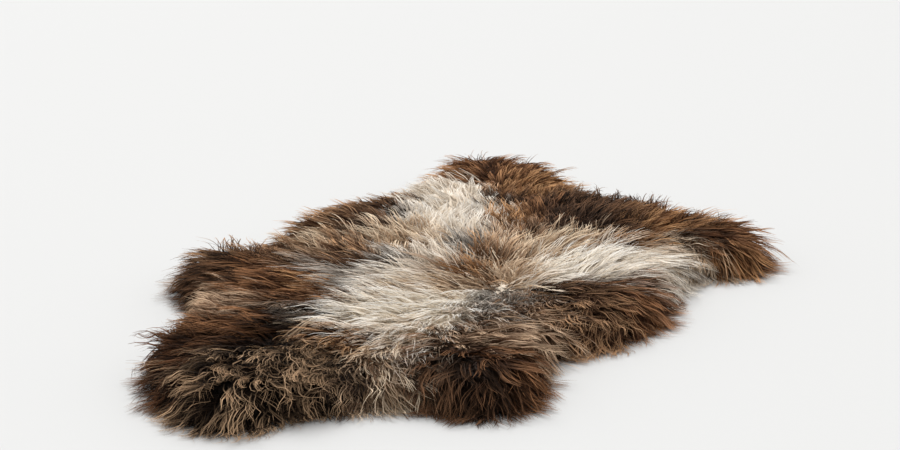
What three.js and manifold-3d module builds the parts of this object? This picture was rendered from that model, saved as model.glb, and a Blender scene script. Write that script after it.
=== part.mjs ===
// A long-wool sheepskin laid flat: one tanned hide, and the fleece that grows on it.
// Millimetres. The floor is z = 0, +Y runs along the spine from the tail to the neck, and +X is the right side.
import * as THREE from "three";
import { mergeVertices } from "three/addons/utils/BufferGeometryUtils.js";
import Module from "manifold-3d";

const wasm = await Module();
wasm.setup();

// Driving dimensions
const hideThickness = 2.2;
const hideInset = 52; // the wool reaches this far past the cut edge of the hide
const seatGap = 0.4; // between the hide and the wool that wraps its edge
const fleeceInset = 20; // from the average reach of the wool back to the edge of its solid mat
const rimHeight = 16; // of the mat's blunt edge
const pileHeight = 51; // of the mat over the hide
const shoulderWidth = 48; // over which the pile rises from its rim to its full height
const field = { halfWidth: 440, halfLength: 620, step: 20 }; // the grid that the pile is worked out on
const outlineSteps = 180;
const combedRim = 150; // inside this the wool is combed straight out over the rim
const seed = 20417;

// How far the wool reaches over the floor, clockwise from the neck as seen from above
const reach = [
  { place: "neck crown", x: -84, y: 600 },
  { place: "neck right corner", x: 10, y: 566 },
  { place: "neck right side", x: 80, y: 504 },
  { place: "neck root right", x: 120, y: 424 },
  { place: "shoulder right", x: 196, y: 368 },
  { place: "foreleg right top", x: 272, y: 324 },
  { place: "foreleg right front", x: 348, y: 268 },
  { place: "foreleg right side", x: 400, y: 194 },
  { place: "foreleg right tip", x: 396, y: 126 },
  { place: "foreleg right back", x: 358, y: 88 },
  { place: "armpit right", x: 302, y: 54 },
  { place: "flank right front", x: 284, y: -28 },
  { place: "flank right middle", x: 266, y: -114 },
  { place: "flank right back", x: 214, y: -216 },
  { place: "groin right", x: 152, y: -278 },
  { place: "hind leg right side", x: 146, y: -352 },
  { place: "hind leg right tip", x: 132, y: -424 },
  { place: "hind leg right foot", x: 78, y: -472 },
  { place: "tail", x: -2, y: -454 },
  { place: "hind leg left inside", x: -96, y: -492 },
  { place: "hind leg left foot", x: -148, y: -540 },
  { place: "hind leg left tip", x: -208, y: -550 },
  { place: "hind leg left corner", x: -272, y: -498 },
  { place: "hind leg left side", x: -334, y: -408 },
  { place: "flank left back", x: -354, y: -294 },
  { place: "flank left front", x: -370, y: -186 },
  { place: "foreleg left tip", x: -404, y: -100 },
  { place: "foreleg left front", x: -396, y: -4 },
  { place: "armpit left", x: -330, y: 32 },
  { place: "shoulder left", x: -322, y: 122 },
  { place: "shoulder left front", x: -290, y: 240 },
  { place: "neck root left", x: -202, y: 350 },
  { place: "neck left side", x: -170, y: 452 },
  { place: "neck left corner", x: -156, y: 552 },
];

// The line that the wool parts along, from the tail to the neck
const spine = [
  { place: "tail root", x: -30, y: -330 },
  { place: "loin", x: -45, y: -120 },
  { place: "back", x: -20, y: 90 },
  { place: "withers", x: -10, y: 270 },
  { place: "neck", x: -40, y: 450 },
];

// Broad swells and hollows of the pile. Along and across are radii, and turn is the angle of along from +X in degrees.
const relief = [
  { place: "neck crown", x: -45, y: 490, along: 95, across: 60, turn: 0, rise: 7 },
  { place: "crease behind the neck", x: -10, y: 385, along: 120, across: 28, turn: -12, rise: -9 },
  { place: "right shoulder", x: 170, y: 270, along: 110, across: 55, turn: -30, rise: 6 },
  { place: "right foreleg", x: 330, y: 150, along: 70, across: 50, turn: -55, rise: 5 },
  { place: "crease in the right armpit", x: 255, y: 90, along: 85, across: 26, turn: 25, rise: -10 },
  { place: "left shoulder", x: -215, y: 190, along: 110, across: 60, turn: 62, rise: 5 },
  { place: "left foreleg", x: -330, y: -60, along: 60, across: 50, turn: 20, rise: 6 },
  { place: "crease in the left armpit", x: -270, y: -25, along: 90, across: 26, turn: -20, rise: -9 },
  { place: "right flank", x: 190, y: -90, along: 120, across: 55, turn: 70, rise: 6 },
  { place: "crease on the right flank", x: 105, y: -150, along: 90, across: 26, turn: -35, rise: -8 },
  { place: "right rump", x: 65, y: -390, along: 80, across: 65, turn: 0, rise: 11 },
  { place: "crease beside the tail", x: -62, y: -440, along: 85, across: 22, turn: 78, rise: -11 },
  { place: "left rump", x: -165, y: -465, along: 85, across: 62, turn: 35, rise: 12 },
  { place: "crease across the left rump", x: -235, y: -395, along: 95, across: 24, turn: 38, rise: -9 },
  { place: "left thigh", x: -275, y: -330, along: 80, across: 50, turn: 60, rise: 7 },
  { place: "loin hollow", x: -60, y: -210, along: 150, across: 60, turn: 80, rise: -4 },
];

// The tufts that the wool's staples make in the top of the mat
const tuft = { pitch: 64, length: 42, width: 23, rise: 13, jitter: 0.3, swirl: 0.45 };

// Locks at the rim. Each lies out from the mat and down to the floor, with a flat underside.
const rimLock = { count: 120, rootWidth: 28, rootHeight: 18, inside: 8, shortest: 16, longest: 38 };
const rimSpread = { jitter: 0.35, fan: 0.3, bend: 0.22 }; // a share of the spacing, radians, a share of the length
const rimTaper = [
  { station: "root", along: 0, aside: 0, width: 1, height: 1 },
  { station: "middle", along: 0.45, aside: 1, width: 0.72, height: 0.6 },
  { station: "tip", along: 1, aside: 0.3, width: 0.08, height: 0.12 },
];

const leatherMaterial = new THREE.MeshStandardMaterial({ color: 0xcdbb9f, roughness: 0.85, metalness: 0 });
const woolMaterial = new THREE.MeshStandardMaterial({ color: 0x6b4f3a, roughness: 0.95, metalness: 0 });

// Repeatable numbers from 0 to 1
function makeRandom(start) {
  let state = start;
  return () => {
    state = (state * 1664525 + 1013904223) % 4294967296;
    return state / 4294967296;
  };
}

const lerp = THREE.MathUtils.lerp;
const clamp = THREE.MathUtils.clamp;

// Outlines

function closedLine(landmarks, steps) {
  const points = landmarks.map((p) => new THREE.Vector3(p.x, p.y, 0));
  const curve = new THREE.CatmullRomCurve3(points, true, "centripetal");
  return curve.getSpacedPoints(steps).slice(0, steps).map((p) => new THREE.Vector2(p.x, p.y));
}

// The outward normal at each point of a clockwise line, averaged over its neighbours on both sides
function outwardNormals(line, neighbours) {
  return line.map((_, i) => {
    const before = line[(i - neighbours + line.length) % line.length];
    const after = line[(i + neighbours) % line.length];
    const along = after.clone().sub(before).normalize();
    return new THREE.Vector2(-along.y, along.x);
  });
}

// The line moved inwards. A point that would land nearer the line than the inset, as in a tight corner, is left out.
function insetLine(line, inset) {
  const normals = outwardNormals(line, 3);
  const slack = 0.93;
  return line
    .map((p, i) => p.clone().addScaledVector(normals[i], -inset))
    .filter((p) => nearest(line, p).distance > inset * slack);
}

// The nearest place on a closed line: its distance, and the number of the point that it follows
function nearest(line, p) {
  let best = { distance: Infinity, at: 0 };
  line.forEach((a, i) => {
    const run = line[(i + 1) % line.length].clone().sub(a);
    const reached = clamp(p.clone().sub(a).dot(run) / run.lengthSq(), 0, 1);
    const distance = p.distanceTo(a.clone().addScaledVector(run, reached));
    if (distance < best.distance) best = { distance, at: i };
  });
  return best;
}

function isInside(line, p) {
  let inside = false;
  for (let i = 0, j = line.length - 1; i < line.length; j = i++) {
    const a = line[i];
    const b = line[j];
    if (a.y > p.y !== b.y > p.y && p.x < ((b.x - a.x) * (p.y - a.y)) / (b.y - a.y) + a.x) inside = !inside;
  }
  return inside;
}

const reachLine = closedLine(reach, outlineSteps);
const reachNormals = outwardNormals(reachLine, 4);
const fleeceLine = insetLine(reachLine, fleeceInset);
const fleeceNormals = outwardNormals(fleeceLine, 3);
const hideLine = insetLine(reachLine, hideInset);
const spineLine = new THREE.CatmullRomCurve3(spine.map((p) => new THREE.Vector3(p.x, p.y, 0)))
  .getSpacedPoints(40)
  .map((p) => new THREE.Vector2(p.x, p.y));

// Distance in from the rim of the mat, negative outside it
function depthFromRim(p) {
  const d = nearest(fleeceLine, p).distance;
  return isInside(fleeceLine, p) ? d : -d;
}

// Which way the wool lies: away from the spine, and straight out over the rim
function flowAt(p) {
  const root = spineLine.reduce((best, q) => (p.distanceTo(q) < p.distanceTo(best) ? q : best));
  const fromSpine = p.clone().sub(root).normalize();
  const outwards = reachNormals[nearest(reachLine, p).at];
  const nearRim = clamp(1 - depthFromRim(p) / combedRim, 0, 1);
  const flow = fromSpine.multiplyScalar(1 - nearRim).addScaledVector(outwards, nearRim);
  return Math.atan2(flow.y, flow.x);
}

// The height of the pile

const random = makeRandom(seed);

function makeTufts() {
  const tufts = [];
  const rowPitch = tuft.pitch * Math.sqrt(0.75);
  const rows = Math.ceil(field.halfLength / rowPitch);
  const columns = Math.ceil(field.halfWidth / tuft.pitch);
  for (let row = -rows; row <= rows; row++) {
    for (let column = -columns; column <= columns; column++) {
      const p = new THREE.Vector2(
        (column + (row % 2 === 0 ? 0 : 0.5) + tuft.jitter * (2 * random() - 1)) * tuft.pitch,
        (row + tuft.jitter * (2 * random() - 1)) * rowPitch,
      );
      const turn = tuft.swirl * (2 * random() - 1);
      const size = lerp(0.7, 1.25, random());
      if (depthFromRim(p) > tuft.width / 2) tufts.push({ p, flow: flowAt(p) + turn, size });
    }
  }
  return tufts;
}

const tufts = makeTufts();

// A tuft climbs slowly from its root and drops at its tip, downstream
function tuftHeight(p) {
  let most = 0;
  for (const t of tufts) {
    const dx = p.x - t.p.x;
    const dy = p.y - t.p.y;
    if (dx * dx + dy * dy > 4 * tuft.pitch * tuft.pitch) continue;
    const along = dx * Math.cos(t.flow) + dy * Math.sin(t.flow);
    const across = dy * Math.cos(t.flow) - dx * Math.sin(t.flow);
    const length = tuft.length * (along > 0 ? 0.6 : 1.3) * t.size;
    const width = tuft.width * t.size;
    most = Math.max(most, t.size * Math.exp(-((along / length) ** 2) - (across / width) ** 2));
  }
  return tuft.rise * (most - 0.5);
}

function reliefHeight(p) {
  return relief.reduce((sum, r) => {
    const turn = THREE.MathUtils.degToRad(r.turn);
    const dx = p.x - r.x;
    const dy = p.y - r.y;
    const along = (dx * Math.cos(turn) + dy * Math.sin(turn)) / r.along;
    const across = (dy * Math.cos(turn) - dx * Math.sin(turn)) / r.across;
    return sum + r.rise * Math.exp(-along * along - across * across);
  }, 0);
}

// A quarter of an ellipse from the rim up to the full pile
function pileAt(p) {
  const depth = depthFromRim(p);
  const share = clamp(1 - depth / shoulderWidth, 0, 1);
  const dome = Math.sqrt(1 - share ** 2);
  const top = pileHeight + reliefHeight(p) + tuftHeight(p);
  return depth <= 0 ? rimHeight : lerp(rimHeight, top, dome);
}

// Solids

function solidFrom(geometry) {
  const bare = new THREE.BufferGeometry().setAttribute("position", geometry.getAttribute("position"));
  if (geometry.index) bare.setIndex(geometry.index);
  const merged = mergeVertices(bare, 1e-3);
  return new wasm.Manifold(
    new wasm.Mesh({
      numProp: 3,
      vertProperties: new Float32Array(merged.attributes.position.array),
      triVerts: new Uint32Array(merged.index.array),
    }),
  );
}

function geometryFrom(solid) {
  const mesh = solid.getMesh();
  const positions = new Float32Array(mesh.numVert * 3);
  for (let i = 0; i < mesh.numVert; i++) {
    positions.set(mesh.vertProperties.subarray(i * mesh.numProp, i * mesh.numProp + 3), i * 3);
  }
  const geometry = new THREE.BufferGeometry()
    .setAttribute("position", new THREE.BufferAttribute(positions, 3))
    .setIndex(new THREE.BufferAttribute(new Uint32Array(mesh.triVerts), 1));
  geometry.computeVertexNormals();
  return geometry;
}

function prism(line, low, high) {
  const options = { depth: high - low, bevelEnabled: false };
  return new THREE.ExtrudeGeometry(new THREE.Shape(line), options).translate(0, 0, low);
}

// A slab wider than the fleece on every side, whose top follows the pile
function pileSlab() {
  const columns = (2 * field.halfWidth) / field.step;
  const rows = (2 * field.halfLength) / field.step;
  const geometry = new THREE.BoxGeometry(2 * field.halfWidth, 2 * field.halfLength, 2, columns, rows, 1);
  const position = geometry.getAttribute("position");
  for (let i = 0; i < position.count; i++) {
    const p = new THREE.Vector2(position.getX(i), position.getY(i));
    if (position.getZ(i) > 0) position.setZ(i, pileAt(p));
  }
  return geometry;
}

// A tapered lock of three-sided sections, flat underneath. Each station has its middle, half width and ridge height.
function lockOver(stations) {
  const positions = [];
  stations.forEach((s, i) => {
    const before = stations[Math.max(i - 1, 0)].middle;
    const after = stations[Math.min(i + 1, stations.length - 1)].middle;
    const along = after.clone().sub(before).normalize();
    const side = new THREE.Vector2(-along.y, along.x).multiplyScalar(s.halfWidth);
    positions.push(s.middle.x + side.x, s.middle.y + side.y, 0);
    positions.push(s.middle.x - side.x, s.middle.y - side.y, 0);
    positions.push(s.middle.x, s.middle.y, s.ridge);
  });
  const index = [0, 1, 2];
  for (let i = 0; i < stations.length - 1; i++) {
    for (let k = 0; k < 3; k++) {
      const a = 3 * i + k;
      const b = 3 * i + ((k + 1) % 3);
      index.push(a, b + 3, b, a, a + 3, b + 3);
    }
  }
  const last = 3 * (stations.length - 1);
  index.push(last, last + 2, last + 1);
  return new THREE.BufferGeometry()
    .setAttribute("position", new THREE.BufferAttribute(new Float32Array(positions), 3))
    .setIndex(index);
}

// Evenly spaced round the rim but for a little jitter, each turned a little from straight out
function rimLocks() {
  const either = () => 2 * random() - 1;
  return Array.from({ length: rimLock.count }, (_, i) => {
    const place = (i + 1 + rimSpread.jitter * either()) / rimLock.count;
    const at = Math.floor(place * fleeceLine.length) % fleeceLine.length;
    const out = fleeceNormals[at].clone().rotateAround(new THREE.Vector2(), rimSpread.fan * either());
    const side = new THREE.Vector2(-out.y, out.x);
    const root = fleeceLine[at].clone().addScaledVector(out, -rimLock.inside);
    const length = rimLock.inside + lerp(rimLock.shortest, rimLock.longest, random());
    const bend = rimSpread.bend * length * either();
    const halfWidth = (rimLock.rootWidth / 2) * lerp(0.8, 1.15, random());
    return lockOver(
      rimTaper.map((t) => ({
        middle: root.clone().addScaledVector(out, t.along * length).addScaledVector(side, t.aside * bend),
        halfWidth: t.width * halfWidth,
        ridge: t.height * rimLock.rootHeight,
      })),
    );
  });
}

function makeHide() {
  return prism(hideLine, 0, hideThickness);
}

function makeFleece() {
  const mat = solidFrom(pileSlab()).intersect(solidFrom(prism(fleeceLine, 0, 2 * pileHeight)));
  const locks = rimLocks().map(solidFrom);
  const seatLine = insetLine(reachLine, hideInset - seatGap);
  const seat = solidFrom(prism(seatLine, -1, hideThickness + seatGap));
  const whole = locks.reduce((sum, lock) => sum.add(lock), mat).subtract(seat);
  // Pockets closed off between crossing locks are filled
  const shells = whole.decompose().sort((a, b) => b.volume() - a.volume());
  return geometryFrom(shells[0]);
}

function named(name, geometry, material) {
  const mesh = new THREE.Mesh(geometry, material);
  mesh.name = name;
  return mesh;
}

const sheepskin = new THREE.Group();
sheepskin.add(named("hide", makeHide(), leatherMaterial));
sheepskin.add(named("fleece", makeFleece(), woolMaterial));

// The origin is the middle of the footprint, on the floor
const box = new THREE.Box3().setFromObject(sheepskin);
for (const mesh of sheepskin.children) {
  mesh.position.set(-(box.min.x + box.max.x) / 2, -(box.min.y + box.max.y) / 2, 0);
}

export default sheepskin;
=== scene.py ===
# A long-wool sheepskin on a pale floor: a tanned hide, and over it wool that is grown strand by strand
# from a felted base. Metres. +Y is from the tail to the neck, +X the animal's right side, +Z up.
import math

import bpy
import numpy as np
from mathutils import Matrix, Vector
from mathutils.bvhtree import BVHTree


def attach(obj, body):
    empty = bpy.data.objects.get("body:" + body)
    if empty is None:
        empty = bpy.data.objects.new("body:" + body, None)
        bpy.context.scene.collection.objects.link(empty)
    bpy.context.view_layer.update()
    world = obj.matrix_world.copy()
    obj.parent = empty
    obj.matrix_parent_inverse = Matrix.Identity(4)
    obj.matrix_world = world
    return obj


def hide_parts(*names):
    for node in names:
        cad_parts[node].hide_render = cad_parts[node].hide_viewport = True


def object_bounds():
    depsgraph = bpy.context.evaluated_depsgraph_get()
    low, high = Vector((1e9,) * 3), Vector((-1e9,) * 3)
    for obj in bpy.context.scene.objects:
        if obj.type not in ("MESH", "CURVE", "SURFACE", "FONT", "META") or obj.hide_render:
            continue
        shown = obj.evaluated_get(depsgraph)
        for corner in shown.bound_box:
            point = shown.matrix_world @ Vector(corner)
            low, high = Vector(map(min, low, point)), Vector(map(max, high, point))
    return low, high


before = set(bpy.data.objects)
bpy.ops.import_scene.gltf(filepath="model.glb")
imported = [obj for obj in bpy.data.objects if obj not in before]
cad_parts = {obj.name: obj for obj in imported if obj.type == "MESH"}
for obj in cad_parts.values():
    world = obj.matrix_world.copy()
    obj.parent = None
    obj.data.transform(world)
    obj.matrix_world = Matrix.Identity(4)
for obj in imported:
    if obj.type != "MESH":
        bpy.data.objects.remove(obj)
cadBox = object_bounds()
print("frame loaded")

# Camera, floor and light

cameraSettings = {
    "place": (0.3131, -1.9826, 0.6538),
    "turnLeft": 10.2,  # degrees from straight along the spine
    "tiltDown": 15.95,
    "lens": 61.5,
    "sensor": 36,
}
lightSettings = {
    "world": (1.0, 1.0, 1.0),
    "worldStrength": 0.74,
    "strength": 2.3,
    "angle": 38.0,  # how wide the overhead light is, in degrees
    "turn": (-26.0, -14.0, 0.0),  # tipped to come a little from behind and from the left
}
floorSettings = {"size": 60.0, "colour": (0.625, 0.625, 0.618), "roughness": 0.75}


def addObject(name, data):
    made = bpy.data.objects.new(name, data)
    bpy.context.collection.objects.link(made)
    return made


def addMaterial(name):
    material = bpy.data.materials.new(name)
    material.use_nodes = True
    return material, material.node_tree, material.node_tree.nodes["Principled BSDF"]


def makeCamera(settings):
    camera = addObject("photoCamera", bpy.data.cameras.new("photoCamera"))
    camera.location = settings["place"]
    tilt = math.radians(90 - settings["tiltDown"])
    camera.rotation_euler = (tilt, 0, math.radians(settings["turnLeft"]))
    camera.data.lens = settings["lens"]
    camera.data.sensor_width = settings["sensor"]
    bpy.context.scene.camera = camera


def makeLight(settings):
    data = bpy.data.lights.new("overhead", "SUN")
    data.energy = settings["strength"]
    data.angle = math.radians(settings["angle"])
    light = addObject("overhead", data)
    light.rotation_euler = [math.radians(turn) for turn in settings["turn"]]


def makeWorld(settings):
    world = bpy.data.worlds.new("studio")
    world.use_nodes = True
    background = world.node_tree.nodes["Background"]
    background.inputs["Color"].default_value = (*settings["world"], 1)
    background.inputs["Strength"].default_value = settings["worldStrength"]
    bpy.context.scene.world = world
    bpy.context.scene.view_settings.view_transform = "Standard"


def makeFloor(settings):
    half = settings["size"] / 2
    mesh = bpy.data.meshes.new("floor")
    corners = [(-half, -half, 0), (half, -half, 0), (half, half, 0), (-half, half, 0)]
    mesh.from_pydata(corners, [], [(0, 1, 2, 3)])
    material, _, shader = addMaterial("paleFloor")
    shader.inputs["Base Color"].default_value = (*settings["colour"], 1)
    shader.inputs["Roughness"].default_value = settings["roughness"]
    mesh.materials.append(material)
    addObject("floor", mesh)


makeCamera(cameraSettings)
makeWorld(lightSettings)
makeLight(lightSettings)
makeFloor(floorSettings)
print("camera, light and floor ready")

# The plan: how far any place is from the cut edge of the hide, and how high the fleece stands there

planRules = {
    "wall": 0.5,  # a wall's normal rises or falls by less than this, and a top's rises by more
    "fleeceTop": 0.02,  # but the fleece's top is all that faces up
    "inHide": 0.001,  # a height inside the hide, where its edge is looked for
    "above": 1.0,  # and one that is above it all
    "margin": 0.25,  # of a cell: a grid's points lie this far inside its line until they are drawn to it
}
tiny = 1e-6  # nothing is divided by less
down = Vector((0, 0, -1))


def surfaceTree(node, isWanted):
    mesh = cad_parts[node].data
    places = [v.co.copy() for v in mesh.vertices]
    faces = [tuple(p.vertices) for p in mesh.polygons if isWanted(p.normal.z)]
    return BVHTree.FromPolygons(places, faces)


hideWall = surfaceTree("hide", lambda rise: abs(rise) < planRules["wall"])
hideTop = surfaceTree("hide", lambda rise: rise > planRules["wall"])
fleeceTop = surfaceTree("fleece", lambda rise: rise > planRules["fleeceTop"])


# Where a line straight down through a place meets a surface, or None
def meetBelow(surface, x, y):
    return surface.ray_cast(Vector((x, y, planRules["above"])), down)[0]


# Distance out from the edge of the hide, negative over it, and the direction in which it grows
def fromHideEdge(x, y):
    onWall, wallNormal, _, distance = hideWall.find_nearest(Vector((x, y, planRules["inHide"])))
    away = Vector((x - onWall.x, y - onWall.y))
    if away.length < tiny:
        away = Vector((wallNormal.x, wallNormal.y))
    away.normalize()
    return (distance, away) if meetBelow(hideTop, x, y) is None else (-distance, -away)


def fleeceHeight(x, y):
    place = meetBelow(fleeceTop, x, y)
    return place.z if place else 0.0


# A flat grid of square cells inside a line that lies so far out from the edge of the hide.
# The points at its border are drawn out on to the line.
def clippedGrid(step, limit):
    low, high = cadBox
    xs = np.arange(low.x, high.x + step, step)
    ys = np.arange(low.y, high.y + step, step)
    inside = {}
    for i, x in enumerate(xs):
        for j, y in enumerate(ys):
            away, out = fromHideEdge(x, y)
            if away < limit - planRules["margin"] * step:
                inside[i, j] = (x, y, away, out)
    cells = []
    for i, j in inside:
        corners = [(i, j), (i + 1, j), (i + 1, j + 1), (i, j + 1)]
        if all(corner in inside for corner in corners):
            cells.append(corners)
    used = {}
    for cell in cells:
        for corner in cell:
            used.setdefault(corner, len(used))
    faces = [tuple(used[corner] for corner in cell) for cell in cells]
    sides = dict.fromkeys(side for face in faces for side in zip(face, face[1:] + face[:1]))
    rim = [(a, b) for a, b in sides if (b, a) not in sides]
    border = {a for a, b in rim}
    places = []
    for corner, number in used.items():
        x, y, away, out = inside[corner]
        if number in border:
            x, y = x + out.x * (limit - away), y + out.y * (limit - away)
        places.append((x, y))
    return np.array(places), faces, rim


# A closed slab over a flat grid, from its upper and lower heights
def slabMesh(name, flat, faces, rim, upper, lower):
    count = len(flat)
    places = np.vstack([np.column_stack([flat, upper]), np.column_stack([flat, lower])])
    under = [tuple(count + v for v in reversed(face)) for face in faces]
    wall = [(b, a, count + a, count + b) for a, b in rim]
    mesh = bpy.data.meshes.new(name)
    mesh.from_pydata(places.tolist(), [], faces + under + wall)
    mesh.update()
    mesh.shade_smooth()
    return addObject(name, mesh)


def smoothStep(low, high, value):
    share = np.clip((value - low) / (high - low), 0, 1)
    return share * share * (3 - 2 * share)


rippleWaves = {"count": 6, "sizes": (0.6, 1.6), "scale": 3}  # sizes are shares of the one asked for


# Slow noise from a few sine waves, from about -1 to 1, the same each time
def ripple(x, y, size, seed):
    least, most = rippleWaves["sizes"]
    chance = np.random.default_rng(seed)
    waves = chance.uniform((0, 0, least), (2 * np.pi, 2 * np.pi, most), (rippleWaves["count"], 3))
    total = np.zeros_like(x)
    for turn, phase, stretch in waves:
        total += np.sin((x * np.cos(turn) + y * np.sin(turn)) * 2 * np.pi / (size * stretch) + phase)
    return total / rippleWaves["scale"]


# The wool's markings

# Colours of the wool along a strand's body and at its tip
woolTones = {
    "cream": {"body": (226, 211, 191), "tip": (246, 239, 228)},
    "white": {"body": (246, 236, 220), "tip": (253, 249, 242)},
    "oat": {"body": (176, 146, 116), "tip": (240, 219, 190)},
    "ash": {"body": (162, 151, 139), "tip": (229, 220, 208)},
    "steel": {"body": (118, 110, 101), "tip": (207, 197, 185)},
    "taupe": {"body": (132, 102, 79), "tip": (208, 178, 148)},
    "caramel": {"body": (126, 86, 55), "tip": (202, 155, 109)},
    "chestnut": {"body": (86, 56, 38), "tip": (154, 109, 75)},
    "russet": {"body": (98, 65, 44), "tip": (170, 122, 85)},
    "brindle": {"body": (82, 56, 40), "tip": (184, 144, 108)},
    "gilded": {"body": (38, 28, 21), "tip": (196, 162, 128)},
    "umber": {"body": (55, 40, 30), "tip": (117, 85, 62)},
    "walnut": {"body": (46, 30, 21), "tip": (112, 75, 50)},
    # Not a colour of the wool: near black, for painted shade in creases and hollows
    "paintedShade": {"body": (30, 22, 18), "tip": (62, 46, 37)},
}
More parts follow.
